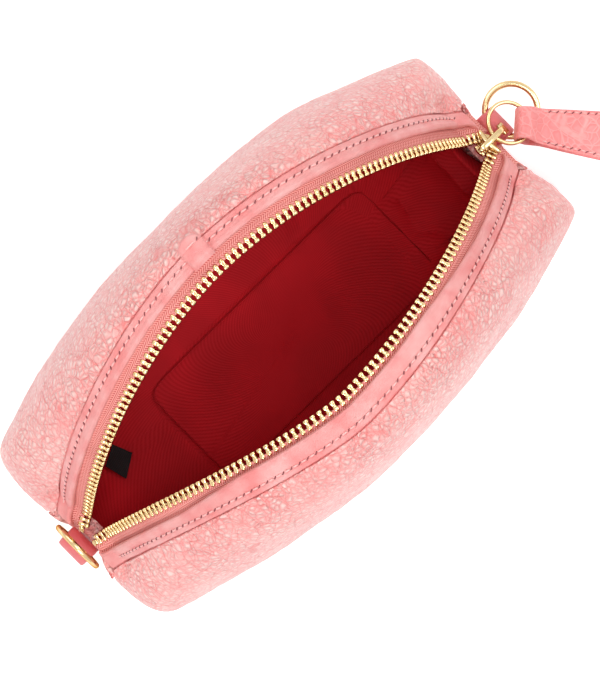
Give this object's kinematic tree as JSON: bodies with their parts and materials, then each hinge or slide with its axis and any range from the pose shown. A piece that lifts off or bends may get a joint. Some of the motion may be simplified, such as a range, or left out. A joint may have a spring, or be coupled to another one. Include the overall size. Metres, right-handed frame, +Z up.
{
  "type": "crossbody camera bag",
  "caption": "Small dome-shaped leather bag standing open, with an arched zip, a leather zip pull, end rings for a strap and a fabric lining.",
  "frame": {"origin": "middle of the base's underside, where the bag stands", "axes": "+X along the bag to the end where the zip slider stands, +Y the back half with the joint cover, +Z up"},
  "size_m": [0.302, 0.1352, 0.1451],
  "materials": {
    "pebbled_leather": "pebbled, satin",
    "smooth_leather": "smooth, satin",
    "coral_leather": "pebbled, satin",
    "zip_tape": "woven tape",
    "brass": "polished, pale gold plated",
    "lining_twill": "twill weave, dull",
    "board": "fibre board",
    "label": "woven, bare"
  },
  "bodies": {
    "bag": {"base_panel": "pebbled_leather", "front_panel": "pebbled_leather", "back_panel": "pebbled_leather", "left_gusset": "pebbled_leather", "right_gusset": "pebbled_leather", "front_placket": "smooth_leather", "back_placket": "smooth_leather", "joint_cover_tab": "smooth_leather", "front_zip_tape": "zip_tape", "back_zip_tape": "zip_tape", "front_zip_teeth": "brass", "back_zip_teeth": "brass", "front_top_stop": "brass", "back_top_stop": "brass", "zip_bottom_stop": "brass", "left_ring_tab": "coral_leather", "right_ring_tab": "coral_leather", "base_board": "board", "base_lining": "lining_twill", "front_lining": "lining_twill", "back_lining": "lining_twill", "left_lining": "lining_twill", "right_lining": "lining_twill", "care_label": "label"},
    "zip_slider": {"zip_slider_body": "brass", "zip_slider_crown": "brass"},
    "pull_ring": {"pull_ring": "brass"},
    "zip_pull": {"zip_pull": "coral_leather"},
    "left_ring": {"left_ring": "brass"},
    "right_ring": {"right_ring": "brass"}
  },
  "joints": [
    {"name": "zip_slide", "type": "slide", "parent": "bag", "child": "zip_slider", "axis": [-0.866, 0, 0.5], "range_m": [0, 0.004]},
    {"name": "pull_ring_hinge", "type": "hinge", "parent": "zip_slider", "child": "pull_ring", "pos_m": [0.1178, 0, 0.05454], "axis": [0, -1, 0], "range_deg": [0, 70]},
    {"name": "pull_hinge", "type": "hinge", "parent": "pull_ring", "child": "zip_pull", "pos_m": [0.13029, -0.00541, 0.04999], "axis": [-0.7198, -0.6428, 0.262], "range_deg": [0, 60]},
    {"name": "right_ring_hinge", "type": "hinge", "parent": "bag", "child": "right_ring", "pos_m": [0.12196, 0.003, 0.04], "axis": [0, 1, 0], "range_deg": [0, 88]},
    {"name": "left_ring_hinge", "type": "hinge", "parent": "bag", "child": "left_ring", "pos_m": [-0.12057, 0.0006, 0.04], "axis": [0, -1, 0], "range_deg": [0, 178]}
  ]
}
